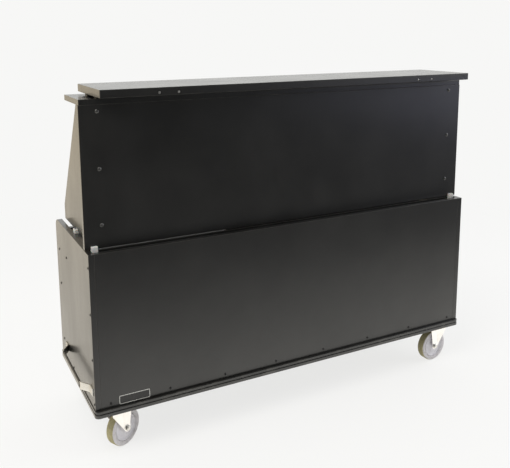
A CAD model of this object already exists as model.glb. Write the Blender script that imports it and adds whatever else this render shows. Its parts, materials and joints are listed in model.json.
"""Looks of the mobile bar unit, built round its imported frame. Metres, X along the front, Z up."""
import json
from math import atan2, cos, hypot, pi, radians, sin, sqrt, tan

import bmesh
import bpy
from mathutils import Matrix, Vector


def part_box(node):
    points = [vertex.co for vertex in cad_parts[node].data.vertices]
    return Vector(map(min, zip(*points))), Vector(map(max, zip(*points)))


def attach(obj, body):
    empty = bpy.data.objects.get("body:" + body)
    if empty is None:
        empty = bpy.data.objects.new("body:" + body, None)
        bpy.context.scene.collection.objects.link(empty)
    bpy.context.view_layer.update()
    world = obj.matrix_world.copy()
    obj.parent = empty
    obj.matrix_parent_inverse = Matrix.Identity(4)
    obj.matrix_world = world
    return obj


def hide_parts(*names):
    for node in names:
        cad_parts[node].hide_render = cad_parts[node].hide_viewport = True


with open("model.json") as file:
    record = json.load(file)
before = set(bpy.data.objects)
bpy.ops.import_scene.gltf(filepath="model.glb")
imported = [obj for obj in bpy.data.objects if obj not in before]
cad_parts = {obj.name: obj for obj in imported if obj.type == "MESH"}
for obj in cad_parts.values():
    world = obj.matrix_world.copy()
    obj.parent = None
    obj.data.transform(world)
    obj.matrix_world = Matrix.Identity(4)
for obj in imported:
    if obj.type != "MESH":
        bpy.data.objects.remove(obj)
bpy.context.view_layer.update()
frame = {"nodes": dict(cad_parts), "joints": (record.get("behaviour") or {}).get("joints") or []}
joints = {j["name"]: j for j in frame["joints"]}
MM = 0.001

# Camera, worked out from the photograph's straight edges
IMAGE_W, IMAGE_H = 510, 468
FOCAL_PX = 682.75
AXIS_U, AXIS_V = 251.28, 148.60
EYE = Vector((-1.2295, -2.2344, 1.3820))
TILT, ROLL, YAW = radians(80.054), radians(0.337), radians(-27.213)


def make_camera():
    data = bpy.data.cameras.new("camera")
    data.sensor_width = 36
    data.lens = FOCAL_PX / IMAGE_W * data.sensor_width
    data.shift_x = (IMAGE_W / 2 - AXIS_U) / IMAGE_W
    data.shift_y = (AXIS_V - IMAGE_H / 2) / IMAGE_W
    camera = bpy.data.objects.new("camera", data)
    camera.location = EYE
    camera.rotation_euler = (TILT, ROLL, YAW)
    bpy.context.scene.collection.objects.link(camera)
    bpy.context.scene.camera = camera


# Node materials

class Shader:
    """A procedural material: a Principled shader and the textures that feed it."""

    def __init__(self, name, colour=(0.5, 0.5, 0.5), roughness=0.5, metallic=0.0, specular=0.5):
        self.material = bpy.data.materials.new(name)
        self.material.use_nodes = True
        self.tree = self.material.node_tree
        self.tree.nodes.clear()
        self.surface = self.add("ShaderNodeBsdfPrincipled")
        self.surface.inputs["Base Color"].default_value = (*colour, 1)
        self.surface.inputs["Roughness"].default_value = roughness
        self.surface.inputs["Metallic"].default_value = metallic
        self.surface.inputs["Specular IOR Level"].default_value = specular
        self.output = self.add("ShaderNodeOutputMaterial")
        self.link(self.surface.outputs["BSDF"], self.output.inputs["Surface"])
        self.place = self.add("ShaderNodeTexCoord").outputs["Object"]

    def add(self, kind):
        return self.tree.nodes.new(kind)

    def link(self, source, target):
        self.tree.links.new(source, target)

    def feed(self, socket, value):
        if isinstance(value, bpy.types.NodeSocket):
            self.link(value, socket)
        else:
            socket.default_value = value

    def math(self, operation, a, b=0.0):
        node = self.add("ShaderNodeMath")
        node.operation = operation
        self.feed(node.inputs[0], a)
        self.feed(node.inputs[1], b)
        return node.outputs[0]

    def stretched(self, scale):
        node = self.add("ShaderNodeMapping")
        self.link(self.place, node.inputs["Vector"])
        node.inputs["Scale"].default_value = scale
        return node.outputs[0]

    def noise(self, scale, detail=3.0, rough=0.5, place=None):
        node = self.add("ShaderNodeTexNoise")
        self.link(place or self.place, node.inputs["Vector"])
        node.inputs["Scale"].default_value = scale
        node.inputs["Detail"].default_value = detail
        node.inputs["Roughness"].default_value = rough
        return node.outputs["Fac"]

    def cells(self, scale, feature="F1", place=None):
        node = self.add("ShaderNodeTexVoronoi")
        node.feature = feature
        self.link(place or self.place, node.inputs["Vector"])
        node.inputs["Scale"].default_value = scale
        return node.outputs["Distance"]

    def remap(self, value, low, high, to_low=0.0, to_high=1.0):
        node = self.add("ShaderNodeMapRange")
        self.link(value, node.inputs["Value"])
        for socket, number in zip(("From Min", "From Max", "To Min", "To Max"), (low, high, to_low, to_high)):
            node.inputs[socket].default_value = number
        return node.outputs["Result"]

    def blend(self, share, a, b):
        node = self.add("ShaderNodeMix")
        node.data_type = "RGBA"
        self.feed(node.inputs["Factor"], share)
        self.feed(node.inputs["A"], a if isinstance(a, bpy.types.NodeSocket) else (*a, 1))
        self.feed(node.inputs["B"], b if isinstance(b, bpy.types.NodeSocket) else (*b, 1))
        return node.outputs["Result"]

    def colour(self, value):
        self.link(value, self.surface.inputs["Base Color"])

    def coat(self, weight, rough):
        self.surface.inputs["Coat Weight"].default_value = weight
        self.surface.inputs["Coat Roughness"].default_value = rough

    def roughness(self, value):
        self.link(value, self.surface.inputs["Roughness"])

    def bump(self, height, strength, distance, under=None):
        node = self.add("ShaderNodeBump")
        node.inputs["Strength"].default_value = strength
        node.inputs["Distance"].default_value = distance
        self.link(height, node.inputs["Height"])
        if under is not None:
            self.link(under, node.inputs["Normal"])
        self.link(node.outputs["Normal"], self.surface.inputs["Normal"])
        return node.outputs["Normal"]


def laminate(name, tone=1.0, wear=0.0):
    """Black laminate with a fine pebble, faint mottling and dust, and rubbed where wear is high."""
    dark = tuple(c * tone for c in (0.0066, 0.0066, 0.0060))
    light = tuple(c * tone for c in (0.0135, 0.0132, 0.0122))
    s = Shader(name, dark, 0.4, specular=0.45)
    s.coat(0.55, 0.16)
    mottle = s.remap(s.noise(7.0, 4.0, 0.6), 0.35, 0.7)
    base = s.blend(mottle, dark, light)
    grain = s.remap(s.noise(520.0, 2.0), 0.35, 0.72)
    base = s.blend(s.math("MULTIPLY", grain, 0.35), base, tuple(c * 1.9 for c in light))
    dust = s.remap(s.noise(2400.0, 1.0), 0.68, 0.78, 0.0, 0.5)
    base = s.blend(s.math("MULTIPLY", dust, s.remap(s.noise(3.5), 0.42, 0.7)), base, (0.10, 0.098, 0.09))
    if wear:
        rubbed = s.remap(s.noise(60.0, 5.0, 0.7), 0.40, 0.62, 0.25, 1.0)
        base = s.blend(s.math("MULTIPLY", rubbed, wear), base, (0.12, 0.112, 0.098))
    s.colour(base)
    smear = s.noise(5.0, 5.0, 0.62, s.stretched((1.0, 1.0, 0.35)))
    s.roughness(s.remap(smear, 0.3, 0.7, 0.36, 0.50))
    pebble = s.cells(430.0, "SMOOTH_F1")
    wave = s.bump(s.noise(22.0, 2.0), 0.18, 0.0010)
    s.bump(pebble, 0.20, 0.0004, wave)
    return s.material


def moulding_vinyl():
    s = Shader("edge_vinyl", (0.03, 0.03, 0.028), 0.34, specular=0.5)
    scuff = s.remap(s.noise(45.0, 5.0, 0.7, s.stretched((0.35, 0.35, 1.0))), 0.5, 0.72)
    s.colour(s.blend(scuff, (0.016, 0.016, 0.015), (0.075, 0.072, 0.064)))
    s.roughness(s.remap(s.noise(30.0), 0.3, 0.7, 0.22, 0.38))
    s.coat(0.5, 0.15)
    s.bump(s.noise(300.0, 3.0), 0.12, 0.0004)
    return s.material


def nylon():
    s = Shader("nylon", (0.8, 0.8, 0.76), 0.42, specular=0.5)
    s.surface.inputs["Subsurface Weight"].default_value = 0.15
    s.surface.inputs["Subsurface Scale"].default_value = 0.003
    grime = s.remap(s.noise(70.0, 5.0, 0.65), 0.5, 0.75)
    s.colour(s.blend(grime, (0.80, 0.80, 0.76), (0.62, 0.60, 0.54)))
    s.roughness(s.remap(s.noise(120.0), 0.3, 0.7, 0.34, 0.5))
    s.bump(s.noise(800.0, 2.0), 0.15, 0.0002)
    return s.material


def metal(name, light, dark, rough, brushed=(1.0, 1.0, 1.0), scale=300.0, tarnish=0.5):
    """Bare or plated metal: brushing or grain, tarnish in patches and fine scratches."""
    s = Shader(name, light, rough, metallic=1.0)
    patches = s.remap(s.noise(26.0, 5.0, 0.65), 0.45, 0.75, 0.0, tarnish)
    s.colour(s.blend(patches, light, dark))
    lines = s.noise(scale, 3.0, 0.6, s.stretched(brushed))
    s.roughness(s.remap(lines, 0.3, 0.7, rough - 0.07, rough + 0.1))
    s.bump(lines, 0.10, 0.0003)
    return s.material


def painted(name, colour, chipped, rough):
    s = Shader(name, colour, rough)
    chips = s.remap(s.noise(240.0, 4.0, 0.7), 0.62, 0.68)
    s.colour(s.blend(chips, colour, chipped))
    s.roughness(s.remap(s.noise(160.0), 0.3, 0.7, rough - 0.08, rough + 0.1))
    s.bump(s.noise(500.0, 2.0), 0.1, 0.0002)
    return s.material


def hub_plastic():
    s = Shader("hub_grey", (0.80, 0.78, 0.83), 0.42)
    grime = s.remap(s.noise(55.0, 6.0, 0.7), 0.48, 0.72)
    s.colour(s.blend(grime, (0.88, 0.86, 0.90), (0.70, 0.68, 0.69)))
    s.roughness(s.remap(s.noise(90.0), 0.3, 0.7, 0.34, 0.56))
    s.bump(s.noise(400.0, 3.0), 0.14, 0.0003)
    return s.material


def tyre_rubber(name, clean, dirty):
    s = Shader(name, clean, 0.6, specular=0.35)
    grime = s.remap(s.noise(80.0, 6.0, 0.7), 0.40, 0.70)
    s.colour(s.blend(grime, clean, dirty))
    s.roughness(s.remap(s.noise(120.0, 4.0), 0.3, 0.7, 0.5, 0.75))
    s.bump(s.noise(900.0, 3.0), 0.3, 0.0004)
    return s.material


# Mesh tools

def arc(centre, radius, start, end, steps=8):
    """Points of an arc in a plane, angles in degrees."""
    turn = [radians(start + (end - start) * k / steps) for k in range(steps + 1)]
    return [(centre[0] + radius * cos(a), centre[1] + radius * sin(a)) for a in turn]


def round_box(half_x, half_y, radius, centre=(0.0, 0.0), steps=8):
    """Outline of a rectangle with round corners, anticlockwise."""
    x, y = half_x - radius, half_y - radius
    corners = ((x, y, 0), (-x, y, 90), (-x, -y, 180), (x, -y, 270))
    return [(centre[0] + p[0], centre[1] + p[1])
            for cx, cy, a in corners for p in arc((cx, cy), radius, a, a + 90, steps)]


def rectangle(low, high):
    return [(low[0], low[1]), (high[0], low[1]), (high[0], high[1]), (low[0], high[1])]


def in_space(axis, a, b, height):
    """Point of an outline drawn across an axis: (y, z) for X, (x, z) for Y and (x, y) for Z."""
    return {"X": (height, a, b), "Y": (a, height, b), "Z": (a, b, height)}[axis]


def soften(bm, width, limit=28.0, segments=2):
    """Bevels the sharp edges; the bevels take the second material."""
    sharp = [e for e in bm.edges if len(e.link_faces) == 2 and e.calc_face_angle(0) > radians(limit)]
    if sharp and width:
        bmesh.ops.bevel(bm, geom=sharp, offset=width, offset_type="OFFSET", segments=segments, profile=0.5,
                        affect="EDGES", clamp_overlap=True, material=1)


def extrude(outlines, axis, low, high, bevel=0.0, segments=2, into=None):
    """Solid from an outline and its holes, between two heights on an axis."""
    bm = bmesh.new()
    for outline in outlines:
        ring = [bm.verts.new(in_space(axis, a, b, low)) for a, b in outline]
        for k, v in enumerate(ring):
            bm.edges.new((v, ring[(k + 1) % len(ring)]))
    bmesh.ops.triangle_fill(bm, edges=bm.edges[:], use_beauty=True)
    bmesh.ops.dissolve_limit(bm, angle_limit=0.01, verts=bm.verts[:], edges=bm.edges[:])
    made = bmesh.ops.extrude_face_region(bm, geom=bm.faces[:])
    shift = Vector(in_space(axis, 0, 0, high - low))
    bmesh.ops.translate(bm, verts=[g for g in made["geom"] if isinstance(g, bmesh.types.BMVert)], vec=shift)
    bmesh.ops.recalc_face_normals(bm, faces=bm.faces[:])
    soften(bm, bevel, segments=segments)
    return joined(into, bm)


def block(low, high, bevel=0.0, into=None, segments=2):
    return extrude([rectangle(low[:2], high[:2])], "Z", low[2], high[2], bevel, segments, into)


def lathe(profile, steps=48, matrix=Matrix.Identity(4), into=None):
    """Turns a closed profile of (radius, height) about Z."""
    bm = bmesh.new()
    rings = []
    for radius, height in profile:
        if radius < 1e-6:
            rings.append([bm.verts.new((0, 0, height))] * steps)
        else:
            rings.append([bm.verts.new((radius * cos(2 * pi * k / steps), radius * sin(2 * pi * k / steps), height))
                          for k in range(steps)])
    for a, b in zip(rings, rings[1:] + rings[:1]):
        for k in range(steps):
            corners = list(dict.fromkeys((a[k], a[(k + 1) % steps], b[(k + 1) % steps], b[k])))
            if len(corners) > 2:
                bm.faces.new(corners)
    bmesh.ops.transform(bm, matrix=matrix, verts=bm.verts[:])
    bmesh.ops.recalc_face_normals(bm, faces=bm.faces[:])
    return joined(into, bm)


def loft(rings, close=True, matrix=Matrix.Identity(4), into=None):
    """Skin through rings of equal point counts, with both ends closed or the last joined to the first."""
    bm = bmesh.new()
    loops = [[bm.verts.new(p) for p in ring] for ring in rings]
    pairs = list(zip(loops, loops[1:])) if close else list(zip(loops, loops[1:] + loops[:1]))
    for a, b in pairs:
        for k in range(len(a)):
            n = (k + 1) % len(a)
            bm.faces.new((a[k], a[n], b[n], b[k]))
    if close:
        bm.faces.new(loops[0][::-1])
        bm.faces.new(loops[-1])
    bmesh.ops.transform(bm, matrix=matrix, verts=bm.verts[:])
    bmesh.ops.recalc_face_normals(bm, faces=bm.faces[:])
    return joined(into, bm)


def joined(into, bm, matrix=None):
    """Adds bm to another mesh under construction, or hands it back."""
    if matrix is not None:
        bmesh.ops.transform(bm, matrix=matrix, verts=bm.verts[:])
    if into is None:
        return bm
    scratch = bpy.data.meshes.new("scratch")
    bm.to_mesh(scratch)
    bm.free()
    into.from_mesh(scratch)
    bpy.data.meshes.remove(scratch)
    return into


def copies(template, matrices):
    """One mesh holding the template at each of the matrices."""
    scratch = bpy.data.meshes.new("scratch")
    template.to_mesh(scratch)
    template.free()
    bm = bmesh.new()
    for m in matrices:
        start = len(bm.verts)
        bm.from_mesh(scratch)
        bm.verts.ensure_lookup_table()
        bmesh.ops.transform(bm, matrix=m, verts=bm.verts[start:])
    bpy.data.meshes.remove(scratch)
    return bm


def piece(name, bm, body, materials, nodes, smooth=32.0):
    """Turns a finished mesh into a piece that rides on a body and stands for CAD nodes."""
    mesh = bpy.data.meshes.new(name)
    bm.to_mesh(mesh)
    bm.free()
    for material in materials:
        mesh.materials.append(material)
    mesh.polygons.foreach_set("use_smooth", [True] * len(mesh.polygons))
    mesh.set_sharp_from_angle(angle=radians(smooth))
    made = bpy.data.objects.new(name, mesh)
    bpy.context.scene.collection.objects.link(made)
    weighted = made.modifiers.new("weighted_normals", "WEIGHTED_NORMAL")
    weighted.keep_sharp = True
    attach(made, body)
    if nodes:
        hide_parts(*nodes)
    return made


def facing(point, axis):
    """Matrix that puts a template's +Z along an axis at a point."""
    return Matrix.Translation(point) @ Vector(axis).to_track_quat("Z", "Y").to_matrix().to_4x4()


def screw_head(radius, height, recess=True):
    """Domed head with a cross recess, its seat at z = 0."""
    steps = 24
    bm = bmesh.new()

    def dome(r):
        return height * (1 - 0.72 * (r / radius) ** 2.2)

    def ring(r, z):
        return [bm.verts.new((r * cos(2 * pi * k / steps), r * sin(2 * pi * k / steps), z)) for k in range(steps)]

    rings = [ring(radius, 0.0)] + [ring(radius * f, dome(radius * f)) for f in (1.0, 0.93, 0.8, 0.64)]
    for a, b in zip(rings, rings[1:]):
        for k in range(steps):
            bm.faces.new((a[k], a[(k + 1) % steps], b[(k + 1) % steps], b[k]))
    inner = rings[-1]
    edges = [bm.edges.get((inner[k], inner[(k + 1) % steps])) for k in range(steps)]
    if recess:
        arm, half = radius * 0.48, radius * 0.10
        quarter = [(arm, -half), (arm, half), (half, half)]
        cross = []
        for turn in range(4):
            c, s = cos(turn * pi / 2), sin(turn * pi / 2)
            cross += [(x * c - y * s, x * s + y * c) for x, y in quarter]
        top = [bm.verts.new((x, y, dome(hypot(x, y)))) for x, y in cross]
        floor = [bm.verts.new((x * 0.75, y * 0.75, dome(0) - height * 0.55)) for x, y in cross]
        edges += [bm.edges.new((top[k], top[(k + 1) % 12])) for k in range(12)]
        bmesh.ops.triangle_fill(bm, edges=edges, use_beauty=True)
        for k in range(12):
            n = (k + 1) % 12
            bm.faces.new((top[k], top[n], floor[n], floor[k]))
        bm.faces.new(floor)
    else:
        bmesh.ops.triangle_fill(bm, edges=edges, use_beauty=True)
    bm.faces.new(rings[0][::-1])
    bmesh.ops.recalc_face_normals(bm, faces=bm.faces[:])
    return bm


def hexagon(radius, height, matrix=Matrix.Identity(4), into=None):
    """Hexagon head or nut with a turned chamfer on its outer end."""
    corners = [(radius * cos(pi / 3 * k), radius * sin(pi / 3 * k)) for k in range(6)]
    shrink = 0.9
    rings = [[(x, y, 0) for x, y in corners], [(x, y, height * 0.86) for x, y in corners],
             [(x * shrink, y * shrink, height) for x, y in corners]]
    return loft(rings, matrix=matrix, into=into)


# Materials in use

LAMINATE = laminate("laminate")
LAMINATE_EDGE = laminate("laminate_edge", tone=1.2, wear=0.28)
BOARD = (LAMINATE, LAMINATE_EDGE)
VINYL = moulding_vinyl()
NYLON = nylon()
STEEL = metal("bright_steel", (0.66, 0.65, 0.62), (0.42, 0.40, 0.36), 0.30, (1.0, 1.0, 6.0))
STAINLESS = metal("stainless", (0.60, 0.60, 0.59), (0.45, 0.44, 0.42), 0.27, (0.05, 1.0, 1.0), 900.0, 0.3)
ZINC = metal("zinc_plate", (0.86, 0.84, 0.82), (0.66, 0.64, 0.58), 0.33, scale=160.0)
BRASS = metal("brass", (0.72, 0.53, 0.22), (0.42, 0.29, 0.12), 0.32)
BLACK_STEEL = painted("black_oxide", (0.013, 0.013, 0.013), (0.10, 0.09, 0.08), 0.38)
RED_GRIP = painted("red_grip", (0.42, 0.03, 0.02), (0.20, 0.02, 0.015), 0.40)
PLATE_BLACK = painted("plate_black", (0.008, 0.008, 0.008), (0.03, 0.03, 0.03), 0.30)
PLATE_RIM = painted("plate_rim", (0.74, 0.74, 0.70), (0.45, 0.44, 0.40), 0.34)
HUB = hub_plastic()
TYRE_SIDE = tyre_rubber("tyre_side", (0.86, 0.83, 0.85), (0.68, 0.65, 0.64))
TREAD = tyre_rubber("tread_tan", (0.52, 0.47, 0.26), (0.36, 0.32, 0.18))
BOLT_STEEL = metal("bolt_steel", (0.15, 0.15, 0.145), (0.08, 0.08, 0.075), 0.48)

# Boards

EDGE = 1.2 * MM


def board(node, body="base"):
    low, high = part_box(node)
    piece(node + "_board", block(low, high, EDGE), body, BOARD, [node])


def pair_of_blocks(node, split, body, materials, bevel):
    """A node of two boxes, mirrored about a plane; split gives their inner faces on that axis."""
    low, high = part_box(node)
    axis, inner = split
    first_high, second_low = high.copy(), low.copy()
    first_high[axis], second_low[axis] = inner[0], inner[1]
    bm = block(low, first_high, bevel)
    block(second_low, high, bevel, bm)
    piece(node + "_pair", bm, body, materials, [node])


def end_panel(side):
    node = ("left" if side < 0 else "right") + "_end_panel"
    low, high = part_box(node)
    r = 30 * MM
    outline = [(low.y, low.z), (high.y, low.z), *arc((high.y - r, high.z - r), r, 0, 90, 10), (low.y, high.z)]
    piece(node + "_board", extrude([outline], "X", low.x, high.x, EDGE), "base", BOARD, [node])


def upper_end(side):
    node = "upper_left_end" if side < 0 else "upper_right_end"
    low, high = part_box(node)
    top_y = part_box("left_end_panel")[0].y + 190 * MM
    straight = low.z + 54 * MM
    outline = [(low.y, low.z), (high.y, low.z), (high.y, straight), (top_y, high.z), (low.y, high.z)]
    piece(node + "_board", extrude([outline], "X", low.x, high.x, EDGE), "upper_section", BOARD, [node])


def work_deck():
    low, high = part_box("work_deck")
    bin_low, bin_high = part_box("ice_bin")
    centre = ((bin_low.x + bin_high.x) / 2, (bin_low.y + bin_high.y) / 2)
    flange = 10 * MM
    hole = round_box((bin_high.x - bin_low.x) / 2 - flange, (bin_high.y - bin_low.y) / 2 - flange, 25 * MM, centre)
    stake_low, stake_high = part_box("stakes")
    gap, thick = 0.8 * MM, 6 * MM
    slots = [rectangle((side * stake_high.x - (thick if side > 0 else 0) - gap, stake_low.y - gap),
                       (side * stake_high.x + (thick if side < 0 else 0) + gap, stake_high.y + gap))
             for side in (-1, 1)]
    bm = extrude([rectangle(low[:2], high[:2]), hole, *slots], "Z", low.z, high.z, 0.8 * MM)
    piece("work_deck_board", bm, "base", BOARD, ["work_deck"])


def centre_divider():
    low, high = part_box("centre_divider")
    riser_low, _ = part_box("well_riser")
    outline = [(low.y, low.z), (high.y, low.z), (high.y, riser_low.z), (riser_low.y, riser_low.z),
               (riser_low.y, high.z), (low.y, high.z)]
    piece("centre_divider_board", extrude([outline], "X", low.x, high.x, EDGE), "base", BOARD,
          ["centre_divider"])


def drilled(bm, places, radius, depth):
    """Cuts round pockets into a mesh under construction."""
    cutters = copies(lathe([(0, -depth), (radius, -depth), (radius, depth), (0, depth)], 24),
                     [facing(*p) for p in places])
    parts = []
    for content in (bm, cutters):
        mesh = bpy.data.meshes.new("drilling")
        content.to_mesh(mesh)
        content.free()
        parts.append(bpy.data.objects.new("drilling", mesh))
        bpy.context.scene.collection.objects.link(parts[-1])
    cut = parts[0].modifiers.new("cut", "BOOLEAN")
    cut.object, cut.operation, cut.solver = parts[1], "DIFFERENCE", "EXACT"
    bpy.context.view_layer.update()
    result = bmesh.new()
    result.from_object(parts[0], bpy.context.evaluated_depsgraph_get())
    for part in parts:
        mesh = part.data
        bpy.data.objects.remove(part)
        bpy.data.meshes.remove(mesh)
    return result


def edge_screw_places():
    low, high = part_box("bar_top")
    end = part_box("right_end_panel")[1].x
    return [((s * (end - d * MM), low.y, low.z + 9 * MM), (0, -1, 0)) for s in (-1, 1) for d in (228, 291)]


def round_board(node, radius, body, bevel):
    low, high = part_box(node)
    outline = round_box((high.x - low.x) / 2, (high.y - low.y) / 2, radius, (0.0, (low.y + high.y) / 2))
    bm = extrude([outline], "Z", low.z, high.z, bevel)
    if node == "bar_top":
        bm = drilled(bm, edge_screw_places(), 4.8 * MM, 2.6 * MM)
    piece(node + "_board", bm, body, BOARD, [node])


def edge_moulding():
    """Moulding round the platform: a thin top lip, a dark groove and a rounded lower face."""
    low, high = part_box("platform_edge_moulding")
    t, h, r = 4 * MM, high.z - low.z, 15 * MM
    profile = [(-t, 0), (-1.2 * MM, 0), (-0.3 * MM, 0.5 * MM), (0, 1.6 * MM), (0, 10.6 * MM), (-0.5 * MM, 11.6 * MM),
               (-3 * MM, 12 * MM), (-3 * MM, 17 * MM), (-0.6 * MM, 17.3 * MM), (0, 18 * MM), (0, h - 1.4 * MM),
               (-0.5 * MM, h - 0.4 * MM), (-1.4 * MM, h), (-t, h)]
    half_x, half_y, y = (high.x - low.x) / 2, (high.y - low.y) / 2, (high.y + low.y) / 2
    rings = [[(px, py, low.z + z) for px, py in round_box(half_x + out, half_y + out, r + out, (0.0, y), 10)]
             for out, z in profile]
    piece("platform_edge_moulding_strip", loft(rings, close=False), "base", (VINYL,),
          ["platform_edge_moulding"])


# Seats, stakes, angles and plate

def seats():
    """Nylon seats: the front pair hooks over the inner front panel, the side pair lies on the rim."""
    low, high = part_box("front_seats")
    pad, gap, wide = 3 * MM, 0.5 * MM, 20 * MM
    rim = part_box("front_panel")[1].z
    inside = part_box("upper_front_panel")[0].y - gap
    hook = [(low.y, low.z), (inside, low.z), (inside, rim), (high.y, rim), (high.y, rim + pad), (inside, rim + pad),
            (inside, high.z), (low.y, high.z)]
    bm = extrude([hook], "X", low.x, low.x + wide, 0.8 * MM, 3)
    extrude([hook], "X", high.x - wide, high.x, 0.8 * MM, 3, bm)
    piece("front_seat_pair", bm, "base", (NYLON, NYLON), ["front_seats"])
    low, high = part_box("side_seats")
    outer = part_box("upper_right_end")[1].x
    ell = [(outer - 19 * MM, low.z), (high.x, low.z), (high.x, high.z), (outer + gap, high.z),
           (outer + gap, low.z + pad), (outer - 19 * MM, low.z + pad)]
    bm = extrude([ell], "Y", low.y, high.y, 0.8 * MM, 3)
    extrude([[(-x, z) for x, z in ell]], "Y", low.y, high.y, 0.8 * MM, 3, bm)
    piece("side_seat_pair", bm, "base", (NYLON, NYLON), ["side_seats"])


def stakes():
    low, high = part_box("stakes")
    thick, nose = 6 * MM, 8 * MM
    outline = [(low.y, low.z + nose), (low.y + nose, low.z), (high.y - nose, low.z), (high.y, low.z + nose),
               (high.y, high.z), (low.y, high.z)]
    bm = extrude([outline], "X", low.x, low.x + thick, 0.6 * MM)
    extrude([outline], "X", high.x - thick, high.x, 0.6 * MM, into=bm)
    piece("stake_pair", bm, "upper_section", (STEEL, STEEL), ["stakes"])


def corner_angles():
    low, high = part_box("corner_angles")
    w, t, r = high.y - low.y, 3 * MM, 4 * MM
    bend_out = arc((high.x - r, low.y + r), r, -90, 0, 6)
    bend_in = arc((high.x - r, low.y + r), r - t, 0, -90, 6)
    outline = [(high.x - w, low.y), *bend_out, (high.x, high.y), (high.x - t, high.y), *bend_in, (high.x - w, low.y + t)]
    bm = extrude([outline], "Z", low.z, high.z, 0.4 * MM)
    extrude([[(-x, y) for x, y in outline]], "Z", low.z, high.z, 0.4 * MM, into=bm)
    piece("corner_angle_pair", bm, "upper_section", (STEEL, STEEL), ["corner_angles"])


def blank_plate():
    low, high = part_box("blank_plate")
    mid, half_x, half_z = (low + high) / 2, (high.x - low.x) / 2, (high.z - low.z) / 2
    rim, depth = 1.7 * MM, high.y - low.y
    outer = round_box(half_x, half_z, 2.6 * MM, (mid.x, mid.z), 5)
    inner = round_box(half_x - rim, half_z - rim, 1.4 * MM, (mid.x, mid.z), 5)
    frame_bm = extrude([outer, inner], "Y", low.y, high.y, 0.2 * MM)
    piece("blank_plate_rim", frame_bm, "base", (PLATE_RIM, PLATE_RIM), ["blank_plate"])
    field = extrude([inner], "Y", low.y + 0.35 * depth, high.y, 0.0)
    piece("blank_plate_field", field, "base", (PLATE_BLACK, PLATE_BLACK), ["blank_plate"])


# Handles

def rounded(points, radii):
    """Polygon with its corners turned into short curves of the given reaches."""
    made = []
    for k, (corner, reach) in enumerate(zip(points, radii)):
        if not reach:
            made.append(corner)
            continue
        corner = Vector(corner)
        ends = [corner + (Vector(points[j]) - corner).normalized() * reach for j in (k - 1, (k + 1) % len(points))]
        for step in range(7):
            f = step / 6
            made.append(tuple(ends[0] * (1 - f) ** 2 + corner * 2 * f * (1 - f) + ends[1] * f ** 2))
    return made


def handle(side):
    """Steel strap with feet and slanting legs, narrower where it runs through the grip."""
    node = ("left" if side < 0 else "right") + "_handle"
    low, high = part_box(node)
    t, foot, leg, lap = 4 * MM, 31 * MM, 32 * MM, 6 * MM
    out, length = high.x - low.x, high.y - low.y
    wall = low.x if side > 0 else high.x
    mid, height = (low.y + high.y) / 2, (low.z + high.z) / 2
    bend = length / 2 - foot - leg
    knee = bend + leg
    miter = t * tan(atan2(out - t, leg) / 2)
    grip = bend - lap
    limb = rounded([(0, length / 2), (t, length / 2), (t, knee), (out, bend), (out, grip), (out - t, grip),
                    (out - t, bend - miter), (0, knee - miter)], [0, 0, 7 * MM, 5 * MM, 0, 0, 4 * MM, 6 * MM])
    bm = bmesh.new()
    for end in (-1, 1):
        outline = [(wall + side * x, mid + end * y) for x, y in limb]
        extrude([outline], "Z", low.z, high.z, 0.7 * MM, into=bm)
    core = rectangle((wall + side * (out - t), mid - grip - 1 * MM), (wall + side * out, mid + grip + 1 * MM))
    extrude([core], "Z", height - 6.5 * MM, height + 6.5 * MM, 0.0, into=bm)
    piece(node + "_strap", bm, "base", (STEEL, STEEL), [node])


def handle_grips():
    """Vinyl sleeves round the handles, with a slight waist behind each end."""
    low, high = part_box("handle_grips")
    thick, core, tall = 9 * MM, (4 * MM, 13 * MM), high.z - low.z
    mid_y, mid_z, half = (low.y + high.y) / 2, (low.z + high.z) / 2, (high.y - low.y) / 2
    stations = [(-half, 1.0), (-half + 0.8 * MM, 0.0), (-half + 5 * MM, 0.0), (-half + 6 * MM, 0.5),
                (-half + 7 * MM, 0.0)]
    stations += [(-y, inset) for y, inset in reversed(stations)]
    bm = bmesh.new()
    for side in (-1, 1):
        x = side * (high.x - thick / 2)
        outer = [[(px, mid_y + y, pz) for px, pz in round_box(thick / 2 - inset * MM, tall / 2 - inset * MM,
                                                               (3 - inset) * MM, (x, mid_z), 6)]
                 for y, inset in stations]
        hole = [[(px, mid_y + y, pz) for px, pz in round_box(core[0] / 2, core[1] / 2, 0.2 * MM, (x, mid_z), 6)]
                for y in (half, -half)]
        loft(outer + hole, close=False, into=bm)
    piece("handle_grip_pair", bm, "base", (VINYL,), ["handle_grips"])


# Ice bin, cover and drain

def ice_bin():
    low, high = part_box("ice_bin")
    cx, cy = (low.x + high.x) / 2, (low.y + high.y) / 2
    flange, t, gap = 10 * MM, 2 * MM, 1 * MM
    fx, fy = (high.x - low.x) / 2, (high.y - low.y) / 2
    wx, wy, r = fx - flange - gap, fy - flange - gap, 24 * MM

    def ring(inset, z, outer_x=wx, outer_y=wy, corner=r):
        return [(x, y, z) for x, y in round_box(outer_x - inset, outer_y - inset, corner - inset, (cx, cy), 8)]

    top, under = high.z, high.z - t
    fillet = 14 * MM
    inner = [ring(t + fillet * (1 - cos(a)), low.z + t + fillet * (1 - sin(a)))
             for a in (0, pi / 8, pi / 4, 3 * pi / 8, pi / 2)]
    outer = [ring(fillet * (1 - cos(a)), low.z + fillet * (1 - sin(a)))
             for a in (pi / 2, 3 * pi / 8, pi / 4, pi / 8, 0)]
    lip = [ring(0, under), ring(0.3 * MM, under, fx, fy, r + flange), ring(0, under + 0.6 * MM, fx, fy, r + flange),
           ring(0, top - 0.5 * MM, fx, fy, r + flange), ring(0.5 * MM, top, fx, fy, r + flange),
           ring(t - 1.4 * MM, top), ring(t - 0.4 * MM, top - 0.4 * MM), ring(t, top - 1.5 * MM)]
    rings = outer + lip + inner
    piece("ice_bin_pan", loft(rings), "base", (STAINLESS,), ["ice_bin"])


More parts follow.
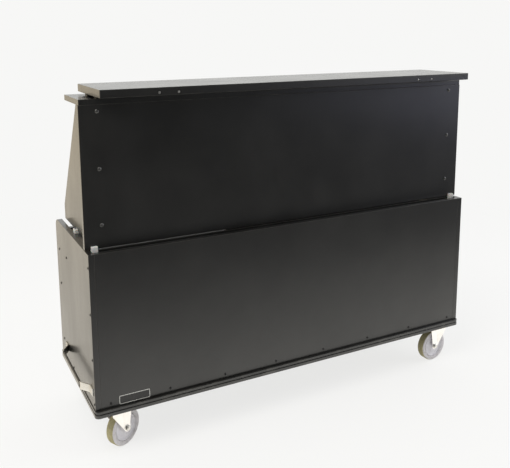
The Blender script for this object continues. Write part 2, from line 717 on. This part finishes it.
def cover_rails():
    low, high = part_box("cover_rails")
    cover_low, cover_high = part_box("bin_cover")
    web, lip, ledge, stop = 3 * MM, 6 * MM, 2 * MM, 4 * MM
    z = high.z - low.z
    channel = [(0, 0), (lip + web, 0), (lip + web, z), (0, z), (0, z - web), (lip, z - web), (lip, ledge), (0, ledge)]
    bm = bmesh.new()
    for side in (-1, 1):
        inner = (high.y if side > 0 else -low.y) - lip - web
        outline = [(side * (inner + y), low.z + h) for y, h in channel]
        extrude([outline], "X", low.x, high.x, 0.5 * MM, into=bm)
        for x in (low.x, high.x - stop):
            y0, y1 = sorted((side * inner, side * (inner + lip)))
            block((x, y0, low.z + ledge), (x + stop, y1, high.z - web), 0.2 * MM, bm)
    piece("cover_rail_pair", bm, "base", (STAINLESS, STAINLESS), ["cover_rails"])


def bin_cover():
    low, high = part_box("bin_cover")
    t, setback, thick, reach = 2 * MM, 20 * MM, 10 * MM, 50 * MM
    mid = (low.y + high.y) / 2
    bm = block(low, (high.x, high.y, low.z + t), 0.4 * MM)
    crown = thick / 2
    x = low.x + setback
    grip = [(x, low.z + t), (x + thick, low.z + t), *arc((x + crown, high.z - crown), crown, 0, 180, 10)]
    extrude([grip], "Y", mid - reach, mid + reach, 1.2 * MM, 3, bm)
    piece("bin_cover_sheet", bm, "bin_cover", (STAINLESS, STAINLESS), ["bin_cover"])


def drain():
    low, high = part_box("drain_valve")
    joint = Vector(joints["drain_lever_turn"]["pos_m"])
    x, y = (low.x + high.x) / 2, low.y + 16 * MM
    pipe, valve, tail = 9 * MM, 15 * MM, 20 * MM
    bottom, top = joint.z - 17 * MM, joint.z + 17 * MM
    floor = high.z - 1.5 * MM
    nut_top = floor - 2 * MM
    at = Matrix.Translation((x, y, 0))
    bore = 7 * MM
    bm = lathe([(bore, low.z), (pipe, low.z), (pipe, bottom), (pipe, nut_top - 4 * MM), (pipe, high.z - 0.4 * MM),
                (16 * MM, floor + 0.1 * MM), (15.6 * MM, high.z), (bore, high.z)], matrix=at)
    for k in range(4):
        ridge = low.z + (2 + 3.4 * k) * MM
        lathe([(bore, ridge), (pipe + 0.9 * MM, ridge + 0.6 * MM), (pipe, ridge + 2.6 * MM), (bore, ridge + 2.6 * MM)],
              matrix=at, into=bm)
    lathe([(bore, bottom + 5 * MM), (valve - 3 * MM, bottom + 5 * MM), (valve, bottom + 9 * MM),
           (valve, top - 9 * MM), (valve - 3 * MM, top - 5 * MM), (bore, top - 5 * MM)], matrix=at, into=bm)
    hexagon(valve, 8 * MM, at @ Matrix.Translation((0, 0, top - 8 * MM)), bm)
    hexagon(valve, 8 * MM, at @ Matrix.Translation((0, 0, bottom + 8 * MM)) @ Matrix.Rotation(pi, 4, "X"), bm)
    hexagon(16 * MM, 4 * MM, at @ Matrix.Translation((0, 0, nut_top - 4 * MM)), bm)
    stem = 4 * MM
    lathe([(0, 0), (6 * MM, 0), (6 * MM, 3.5 * MM), (stem, 4 * MM), (stem, 9.6 * MM), (stem - 0.5 * MM, 10 * MM), (0, 10 * MM)],
          24, facing((x, high.y - 10 * MM, joint.z), (0, 1, 0)), bm)
    soften(bm, 0.25 * MM, 40, 1)
    piece("drain_valve_brass", bm, "base", (BRASS, BRASS), ["drain_valve"])
    lever_low, lever_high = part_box("drain_lever")
    eye, wide, bore = 8 * MM, 7 * MM, 4.05 * MM
    reach = joint.x - lever_low.x
    tip = (joint.x - reach + wide, joint.z)
    outline = [*arc((joint.x, joint.z), eye, -61, 121, 16), *arc(tip, wide, 90, 270, 12)]
    hole = arc((joint.x, joint.z), bore, 0, 360 * 23 / 24, 23)
    plate = extrude([outline, hole], "Y", lever_low.y, lever_high.y, 0.5 * MM)
    piece("drain_lever_arm", plate, "drain_lever", (RED_GRIP, RED_GRIP), ["drain_lever"])


# Screws and bolts

def screw_places():
    """Where each wood screw's head sits and which way it faces, by node."""
    base_low, base_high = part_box("left_end_panel")
    face, rim, box_z = base_low.y, base_high.z, base_low.z
    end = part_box("right_end_panel")[1].x
    well_low, well_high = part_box("bottle_well_shelf")
    well_z = (well_low.z + well_high.z) / 2
    floor_low, floor_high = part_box("floor_board")
    post_y = base_high.y - 45 * MM
    pitch = 152.4 * MM
    sides = [(face + 9.5 * MM, rim - 44 * MM - k * pitch) for k in range(4)]
    sides += [(post_y, rim - 237 * MM), (post_y, box_z + 65 * MM)]
    sides += [(well_low.y + 19 * MM, well_z), (post_y, well_z)]
    sides += [(face + d * MM, (floor_low.z + floor_high.z) / 2) for d in (120, 299)]
    panel = [((s * end, y, z), (s, 0, 0)) for s in (-1, 1) for y, z in sides]
    foot = 203.2 * MM
    panel += [(((k - 3.5) * foot, face, box_z + 15 * MM), (0, -1, 0)) for k in range(8)]
    panel += [((k * 165 * MM, base_high.y - 10 * MM, well_z), (0, 1, 0)) for k in range(-2, 3)]
    tongue_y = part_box("front_seats")[0].y
    panel += [((s * (end - 29 * MM), tongue_y, rim - 9 * MM), (0, -1, 0)) for s in (-1, 1)]
    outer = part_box("upper_right_end")[1].x + 6.5 * MM
    panel += [((s * outer, face + 258 * MM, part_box("side_seats")[1].z), (0, 0, 1)) for s in (-1, 1)]
    handle_low, handle_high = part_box("left_handle")
    grip_z = (handle_low.z + handle_high.z) / 2
    handles = [((s * (end + 4 * MM), y, grip_z + k * 6.5 * MM), (s, 0, 0))
               for s in (-1, 1) for y in (handle_low.y + 15.5 * MM, handle_high.y - 15.5 * MM) for k in (-1, 1)]
    return panel, handles


def upper_screw_places():
    stake_low, stake_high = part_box("stakes")
    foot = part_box("upper_front_panel")[0].z
    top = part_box("upper_front_panel")[1].z
    angle_low, angle_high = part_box("corner_angles")
    inner, stake_y = stake_high.x, (stake_low.y + stake_high.y) / 2
    made = [((s * (inner - 6 * MM), stake_y, foot + z * MM), (-s, 0, 0)) for s in (-1, 1) for z in (35, 80, 125)]
    made += [((s * (inner - 3 * MM), angle_high.y - 10 * MM, z), (-s, 0, 0))
             for s in (-1, 1) for z in (foot + 40 * MM, (foot + top) / 2, top - 40 * MM)]
    shelf_low, shelf_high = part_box("back_shelf")
    base_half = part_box("right_end_panel")[1].x
    front_y = shelf_low.y + 9.5 * MM
    made += [((x * (base_half - 110 * MM) / 3, front_y, shelf_high.z), (0, 0, 1)) for x in (-3, -1, 1, 3)]
    made += [((s * (inner + 9.5 * MM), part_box("left_end_panel")[0].y + 120 * MM, shelf_high.z), (0, 0, 1))
             for s in (-1, 1)]
    batten_low, batten_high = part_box("bar_battens")
    bar_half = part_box("bar_top")[1].x
    made += [((x * (bar_half - 60 * MM) / 2, y, shelf_low.z), (0, 0, -1))
             for x in range(-2, 3) for y in (batten_low.y + 15 * MM, batten_high.y - 15 * MM)]
    return made


def screws():
    head, tall = 4.5 * MM, 2.4 * MM
    panel, handles = screw_places()
    piece("panel_screw_heads", copies(screw_head(head, tall), [facing(*p) for p in panel]), "base",
          (BLACK_STEEL,), ["panel_screws"])
    piece("handle_screw_heads", copies(screw_head(head, tall), [facing(*p) for p in handles]), "base",
          (STEEL,), ["handle_screws"])
    piece("upper_screw_heads", copies(screw_head(head, tall), [facing(*p) for p in upper_screw_places()]),
          "upper_section", (BOLT_STEEL,), ["upper_screws"])
    seats = [((x, y + tall, z), axis) for (x, y, z), axis in edge_screw_places()]
    piece("bar_edge_screw_heads", copies(screw_head(head, tall * 0.96), [facing(*p) for p in seats]), "upper_section",
          (STEEL,), ["bar_edge_screws"])


def upper_bolts():
    low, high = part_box("upper_bolts")
    panel_low, panel_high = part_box("upper_front_panel")
    x, radius = high.x - 6.5 * MM, 6.5 * MM
    heights = [low.z + radius + k * (high.z - low.z - 2 * radius) / 2 for k in range(3)]
    heads, nuts = [], []
    for s in (-1, 1):
        for z in heights:
            heads.append(facing((s * x, panel_low.y, z), (0, -1, 0)))
            nuts.append(facing((s * x, panel_high.y + 3 * MM, z), (0, 1, 0)))
    bm = copies(screw_head(radius, 3.4 * MM), heads)
    nut = hexagon(5.7 * MM, 5 * MM)
    lathe([(0, 0), (3 * MM, 0), (3 * MM, 7.4 * MM), (2.4 * MM, 8 * MM), (0, 8 * MM)], 16, into=nut)
    joined(bm, copies(nut, nuts))
    piece("upper_bolt_set", bm, "upper_section", (BOLT_STEEL,), ["upper_bolts"])


# Casters, in a frame with the swivel axis at the origin and the wheel trailing along +X

WHEEL_R = 63.5 * MM
CASTER_H = 157 * MM
PLATE_T = 4 * MM
CROWN_Z, CROWN_T = -14 * MM, 3 * MM
CROWN_BACK, CROWN_FRONT = -26 * MM, 58 * MM
RACE_Z, RACE_R = -8 * MM, 24 * MM
HUB_W, HUB_R = 38 * MM, 46 * MM
TREAD_W = 32 * MM
LEG_OUT = 22.5 * MM
PIN_Z = -30 * MM


def swivel_frame(corner):
    """Matrix of a caster's swivel, its trail and whether it has a brake, from the joints."""
    kingpin = Vector(joints[corner + "_swivel_turn"]["pos_m"])
    axle = Vector(joints[corner + "_wheel_roll"]["pos_m"])
    trail = (axle - kingpin).xy.length
    angle = atan2(axle.y - kingpin.y, axle.x - kingpin.x)
    place = Matrix.Translation((kingpin.x, kingpin.y, CASTER_H)) @ Matrix.Rotation(angle, 4, "Z")
    return place, trail, corner + "_brake_press" in joints


def caster_plates(corners):
    """Top plates with their upper race and kingpin, and the lag bolts with washers."""
    plates, bolts = bmesh.new(), bmesh.new()
    for corner in corners:
        kingpin = Vector(joints[corner + "_swivel_turn"]["pos_m"])
        at = Matrix.Translation((kingpin.x, kingpin.y, CASTER_H))
        joined(plates, extrude([round_box(46 * MM, 32 * MM, 5 * MM)], "Z", -PLATE_T, 0.0, 0.5 * MM), at)
        cup = [(6 * MM, -PLATE_T), (RACE_R + 2 * MM, -PLATE_T), (RACE_R + 2 * MM, RACE_Z + 1.2 * MM),
               (RACE_R + 0.8 * MM, RACE_Z), (RACE_R - 5 * MM, RACE_Z), (6 * MM, RACE_Z)]
        lathe(cup, 48, at, plates)
        head = CROWN_Z - CROWN_T - 0.3 * MM
        pin = [(0, -PLATE_T), (6 * MM, -PLATE_T), (6 * MM, head), (11 * MM, head), (11 * MM, head - 1.6 * MM),
               (8.5 * MM, head - 3 * MM), (4 * MM, head - 3.5 * MM), (0, head - 3.5 * MM)]
        lathe(pin, 32, at, plates)
        for sx in (-1, 1):
            for sy in (-1, 1):
                spot = at @ Matrix.Translation((sx * 38 * MM, sy * 22.5 * MM, -PLATE_T)) @ Matrix.Rotation(pi, 4, "X")
                lathe([(0, 0), (7.4 * MM, 0), (7.4 * MM, 1 * MM), (0, 1 * MM)], 24, spot, bolts)
                hexagon(6.8 * MM, 4 * MM, spot @ Matrix.Translation((0, 0, 1 * MM)), bolts)
    piece("caster_plate_set", plates, "base", (ZINC, ZINC), ["caster_plates"])
    piece("caster_bolt_set", bolts, "base", (STEEL,), ["caster_bolts"])


def leg_outline(trail, axle_z, brake_x):
    """Side view of a fork leg: straight top, rounded end about the axle."""
    end = 13 * MM
    front = brake_x + 7 * MM if brake_x else CROWN_FRONT
    shoulder = PIN_Z - 7 * MM if brake_x else CROWN_Z - 10 * MM
    waist = PIN_Z - 22 * MM if brake_x else axle_z + 14 * MM
    foot = arc((trail, axle_z), end, 0, -145, 14)
    return [(CROWN_BACK, CROWN_Z - 3 * MM), (front, CROWN_Z - 3 * MM), (front, shoulder), (trail + end, waist), *foot,
            (CROWN_BACK, CROWN_Z - 14 * MM)]


def fork(corner):
    place, trail, braked = swivel_frame(corner)
    axle_z = WHEEL_R - CASTER_H
    brake_x = trail + sqrt((WHEEL_R + 8.5 * MM) ** 2 - WHEEL_R ** 2) if braked else 0
    t, bend = 3 * MM, 3 * MM
    bm = bmesh.new()
    hole = arc((trail, axle_z), 6.1 * MM, 0, 360 * 31 / 32, 31)
    outer_face = LEG_OUT - 0.5 * MM
    for side in (-1, 1):
        inner, outer = sorted((side * (LEG_OUT - t), side * LEG_OUT))
        extrude([leg_outline(trail, axle_z, brake_x), hole], "Y", inner, outer, 0.5 * MM, into=bm)
        fold = LEG_OUT + 0.5 * MM
        y0, y1 = sorted((side * outer_face, side * fold))
        block((20.5 * MM, y0, axle_z + 15 * MM), (22 * MM, y1, CROWN_Z - 4 * MM), 0.3 * MM, bm)
    crown = [(-LEG_OUT, CROWN_Z - bend), *arc((-LEG_OUT + bend, CROWN_Z - bend), bend, 180, 90, 6),
             *arc((LEG_OUT - bend, CROWN_Z - bend), bend, 90, 0, 6), (LEG_OUT, CROWN_Z - bend),
             (LEG_OUT - t, CROWN_Z - bend), (-LEG_OUT + t, CROWN_Z - bend)]
    extrude([crown], "X", CROWN_BACK, CROWN_FRONT, 0.5 * MM, into=bm)
    if braked:
        for side in (-1, 1):
            inner, outer = sorted((side * (LEG_OUT - t), side * LEG_OUT))
            block((CROWN_FRONT - 0.5 * MM, inner, CROWN_Z - 3.2 * MM), (brake_x + 7 * MM, outer, CROWN_Z), 0.5 * MM, bm)
            lathe([(0, 0), (4.2 * MM, 0), (4.2 * MM, 0.7 * MM), (3.4 * MM, 1 * MM), (0, 1 * MM)], 20,
                  facing((brake_x, side * LEG_OUT, PIN_Z), (0, side, 0)), bm)
        lathe([(0, -LEG_OUT), (3 * MM, -LEG_OUT), (3 * MM, LEG_OUT), (0, LEG_OUT)], 20,
              facing((brake_x, 0, PIN_Z), (0, 1, 0)), bm)
    race = [(6.1 * MM, CROWN_Z), (RACE_R, CROWN_Z), (RACE_R, CROWN_Z + 2 * MM), (RACE_R - 3 * MM, RACE_Z - 1.6 * MM),
            (RACE_R - 4.5 * MM, RACE_Z - 0.3 * MM), (6.1 * MM, RACE_Z - 0.3 * MM)]
    lathe(race, 48, into=bm)
    bmesh.ops.transform(bm, matrix=place, verts=bm.verts[:])
    piece(corner + "_fork_stamping", bm, corner + "_swivel", (ZINC, ZINC), [corner + "_fork"])


def axle(corner):
    place, trail, _ = swivel_frame(corner)
    axle_z = WHEEL_R - CASTER_H
    centre = Matrix.Translation((trail, 0, axle_z))
    bm = lathe([(0, -30 * MM), (5.4 * MM, -30 * MM), (6 * MM, -29.3 * MM), (6 * MM, 29.3 * MM), (5.4 * MM, 30 * MM),
                (0, 30 * MM)], 32, centre @ Matrix.Rotation(-pi / 2, 4, "X"))
    for side in (-1, 1):
        turn = facing((trail, side * LEG_OUT, axle_z), (0, side, 0))
        lathe([(6 * MM, 0), (9.9 * MM, 0), (9.9 * MM, 1.2 * MM), (6 * MM, 1.2 * MM)], 32, turn, bm)
        hexagon(9.6 * MM, 4.8 * MM, turn @ Matrix.Translation((0, 0, 1.2 * MM)), bm)
    bmesh.ops.transform(bm, matrix=place, verts=bm.verts[:])
    piece(corner + "_axle_bolt", bm, corner + "_swivel", (STEEL,), [corner + "_axle"])


def wheel(corner):
    """Hub with a dished web and bearing boss, and a tyre with rounded shoulders and its own tread."""
    place, trail, _ = swivel_frame(corner)
    centre = place @ Matrix.Translation((trail, 0, WHEEL_R - CASTER_H)) @ Matrix.Rotation(-pi / 2, 4, "X")
    half = [(6.05, 19), (9.0, 19), (9.6, 18.4), (11.8, 18.2), (13.0, 17.0), (16.0, 14.6), (20.0, 13.4), (34.0, 12.4),
            (38.5, 12.6), (40.6, 14.0), (41.6, 15.2), (43.4, 15.6), (45.0, 15.4), (46.0, 12.4)]
    profile = [(r * MM, z * MM) for r, z in half] + [(r * MM, -z * MM) for r, z in reversed(half)]
    bm = lathe(profile, 72, centre)
    piece(corner + "_hub_moulding", bm, corner + "_wheel", (HUB, HUB), [corner + "_hub"])
    r, w, corner_r = WHEEL_R, TREAD_W / 2, 6 * MM
    shoulder = arc((r - corner_r, w - corner_r), corner_r, 90, 0, 8)
    half = [(HUB_R, w - 3.8 * MM), (HUB_R + 1.0 * MM, w), (HUB_R + 3.2 * MM, w), (HUB_R + 4.0 * MM, w - 0.8 * MM),
            (HUB_R + 5.0 * MM, w), *shoulder]
    profile = half + [(x, -z) for x, z in reversed(half)]
    tyre = lathe(profile, 96, centre)
    back = centre.inverted()
    for face in tyre.faces:
        if (back @ face.calc_center_median()).xy.length > r - 2.2 * MM:
            face.material_index = 1
    piece(corner + "_tyre_ring", tyre, corner + "_wheel", (TYRE_SIDE, TREAD), [corner + "_tyre"])


def pedal(corner):
    """Brake pedal: rolled hub, shoe towards the tread and a tongue with a grip."""
    place, trail, _ = swivel_frame(corner)
    pin_x = trail + sqrt((WHEEL_R + 8.5 * MM) ** 2 - WHEEL_R ** 2)
    axle_z = WHEEL_R - CASTER_H
    hub_r, half_w, reach, t = 6 * MM, 18 * MM, 48 * MM, 3 * MM
    tilt = radians(14)
    turn = Matrix.Translation((pin_x, 0, PIN_Z))
    bm = bmesh.new()
    ring = [(3.05 * MM, -half_w), (hub_r, -half_w), (hub_r, half_w), (3.05 * MM, half_w)]
    lathe(ring, 32, turn @ Matrix.Rotation(-pi / 2, 4, "X"), bm)
    towards = atan2(axle_z - PIN_Z, trail - pin_x) + radians(30)
    shoe = Matrix.Rotation(-towards, 4, "Y")
    lobe = extrude([[(3.4 * MM, -3 * MM), *arc((5 * MM, 0), 3 * MM, -90, 90, 8), (3.4 * MM, 3 * MM)]], "Y",
                   -half_w, half_w, 0.4 * MM)
    joined(bm, lobe, turn @ shoe)
    lean = Matrix.Rotation(-tilt, 4, "Y")
    tongue = extrude([round_box(reach / 2, half_w, 5 * MM, (reach / 2, 0.0))], "Z", hub_r - t - 1 * MM, hub_r - 1 * MM,
                     0.6 * MM)
    joined(bm, tongue, turn @ lean)
    for k in range(4):
        x = reach - (6 + 5 * k) * MM
        ridge = block((x - 0.9 * MM, -half_w * 0.72, hub_r - 1.3 * MM), (x + 0.9 * MM, half_w * 0.72, hub_r - 1.02 * MM), 0.1 * MM)
        joined(bm, ridge, turn @ lean)
    bmesh.ops.transform(bm, matrix=place, verts=bm.verts[:])
    piece(corner + "_pedal_stamping", bm, corner + "_brake", (ZINC, ZINC), [corner + "_pedal"])


# Stage

def make_stage():
    """White floor that curves up into a backdrop. The camera and reflections see it lit evenly,
    apart from the shadow near the object, and reflections see a darker room in front of it."""
    s = Shader("backdrop", (0.93, 0.93, 0.915), 0.9, specular=0.0)
    paths = s.add("ShaderNodeLightPath").outputs
    split = s.add("ShaderNodeSeparateXYZ")
    s.link(s.place, split.inputs[0])
    x, y = split.outputs["X"], split.outputs["Y"]
    away = s.add("ShaderNodeVectorMath")
    away.operation = "LENGTH"
    s.link(s.place, away.inputs[0])
    far = s.remap(away.outputs["Value"], 1.6, 3.2)
    glow = s.add("ShaderNodeEmission")
    warm = s.blend(s.remap(x, -2.2, 0.6), (1.22, 1.06, 0.80), (1.10, 1.10, 1.07))
    right = s.blend(s.remap(x, 4.5, 9.0), (0.03, 0.03, 0.03), (1.0, 1.04, 1.5))
    close = s.blend(s.remap(y, -0.35, 0.1), (1.45, 1.42, 1.34), warm)
    front = s.blend(s.remap(y, -1.7, -0.45), right, close)
    lit = s.blend(paths["Is Camera Ray"], front, (0.93, 0.93, 0.92))
    s.link(lit, glow.inputs["Color"])
    near_glow = 0.82
    s.link(s.remap(far, 0.0, 1.0, near_glow, 1.0), glow.inputs["Strength"])
    soft = s.add("ShaderNodeBsdfDiffuse")
    s.link(s.blend(far, (0.22, 0.22, 0.217), (0.0, 0.0, 0.0)), soft.inputs["Color"])
    both = s.add("ShaderNodeAddShader")
    s.link(glow.outputs[0], both.inputs[0])
    s.link(soft.outputs[0], both.inputs[1])
    shown = s.math("MAXIMUM", paths["Is Camera Ray"], paths["Is Glossy Ray"])
    shown = s.math("MAXIMUM", shown, paths["Is Transmission Ray"])
    choose = s.add("ShaderNodeMixShader")
    s.link(shown, choose.inputs[0])
    s.link(s.surface.outputs[0], choose.inputs[1])
    s.link(both.outputs[0], choose.inputs[2])
    s.link(choose.outputs[0], s.output.inputs["Surface"])
    bm = bmesh.new()
    wide, near, back, sweep, tall = 14.0, -12.0, 7.0, 4.0, 9.0
    section = [(near, 0.0), (back, 0.0)]
    section += [(back + sweep * sin(a), sweep * (1 - cos(a))) for a in (radians(9 * k) for k in range(1, 11))]
    section.append((back + sweep, tall))
    rows = [[bm.verts.new((px, py, pz)) for py, pz in section] for px in (-wide, wide)]
    for k in range(len(section) - 1):
        bm.faces.new((rows[0][k], rows[1][k], rows[1][k + 1], rows[0][k + 1]))
    mesh = bpy.data.meshes.new("floor")
    bm.to_mesh(mesh)
    bm.free()
    mesh.materials.append(s.material)
    mesh.polygons.foreach_set("use_smooth", [True] * len(mesh.polygons))
    floor = bpy.data.objects.new("floor", mesh)
    bpy.context.scene.collection.objects.link(floor)


def make_lights():
    """Room light that is dim in front of the object and bright behind it, with soft lamps."""
    world = bpy.data.worlds.new("studio")
    bpy.context.scene.world = world
    world.use_nodes = True
    tree = world.node_tree
    background = tree.nodes["Background"]
    place = tree.nodes.new("ShaderNodeTexCoord")
    split = tree.nodes.new("ShaderNodeSeparateXYZ")
    tree.links.new(place.outputs["Generated"], split.inputs[0])
    ramp = tree.nodes.new("ShaderNodeMapRange")
    tree.links.new(split.outputs["Y"], ramp.inputs["Value"])
    for socket, number in zip(("From Min", "From Max", "To Min", "To Max"), (-0.7, 0.1, 0.10, 0.9)):
        ramp.inputs[socket].default_value = number
    window = tree.nodes.new("ShaderNodeMapRange")
    tree.links.new(split.outputs["X"], window.inputs["Value"])
    for socket, number in zip(("From Min", "From Max", "To Min", "To Max"), (0.40, 0.75, 0.0, 1.0)):
        window.inputs[socket].default_value = number
    both = tree.nodes.new("ShaderNodeMath")
    both.operation = "MAXIMUM"
    tree.links.new(ramp.outputs["Result"], both.inputs[0])
    tree.links.new(window.outputs["Result"], both.inputs[1])
    paths = tree.nodes.new("ShaderNodeLightPath")
    shown = tree.nodes.new("ShaderNodeMix")
    tree.links.new(paths.outputs["Is Camera Ray"], shown.inputs["Factor"])
    tree.links.new(both.outputs[0], shown.inputs["A"])
    shown.inputs["B"].default_value = 0.93
    background.inputs["Color"].default_value = (1.0, 1.0, 1.0, 1)
    tree.links.new(shown.outputs["Result"], background.inputs["Strength"])

    def lamp(name, place, target, size, power, colour):
        data = bpy.data.lights.new(name, "AREA")
        data.shape, data.size, data.energy, data.color = "SQUARE", size, power, colour
        made = bpy.data.objects.new(name, data)
        made.location = place
        made.rotation_euler = (Vector(target) - Vector(place)).to_track_quat("-Z", "Y").to_euler()
        bpy.context.scene.collection.objects.link(made)

    lamp("key", (-2.2, -1.2, 3.4), (0, 0, 0.5), 2.2, 62, (1.0, 0.97, 0.92))
    lamp("fill", (3.6, -1.6, 2.4), (0.2, 0, 0.7), 2.0, 34, (0.88, 0.91, 1.0))


bpy.context.scene.view_settings.view_transform = "Standard"
make_camera()
make_stage()
make_lights()

for node in ("floor_board", "front_panel", "inner_front_panel", "well_riser", "bottle_well_shelf", "bottle_rail",
             "left_storage_shelf", "right_storage_shelf"):
    board(node)
for node in ("upper_front_panel", "back_shelf"):
    board(node, "upper_section")
for side in (-1, 1):
    end_panel(side)
    upper_end(side)
    handle(side)
handle_grips()
post = 38 * MM
post_low, post_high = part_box("rear_posts")
pair_of_blocks("rear_posts", (0, (post_low.x + post, post_high.x - post)), "base", BOARD, EDGE)
batten = 30 * MM
batten_low, batten_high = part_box("bar_battens")
pair_of_blocks("bar_battens", (1, (batten_low.y + batten, batten_high.y - batten)), "upper_section",
               BOARD, EDGE)
work_deck()
centre_divider()
round_board("platform", 11 * MM, "base", 0.5 * MM)
round_board("bar_top", 4 * MM, "upper_section", 1.6 * MM)
edge_moulding()
seats()
stakes()
corner_angles()
blank_plate()
ice_bin()
cover_rails()
bin_cover()
drain()
screws()
upper_bolts()
frame["nodes"]["stake_guides"].data.materials.clear()
frame["nodes"]["stake_guides"].data.materials.append(NYLON)
CORNERS = ("front_left", "front_right", "rear_left", "rear_right")
caster_plates(CORNERS)
for corner in CORNERS:
    fork(corner)
    axle(corner)
    wheel(corner)
    if swivel_frame(corner)[2]:
        pedal(corner)
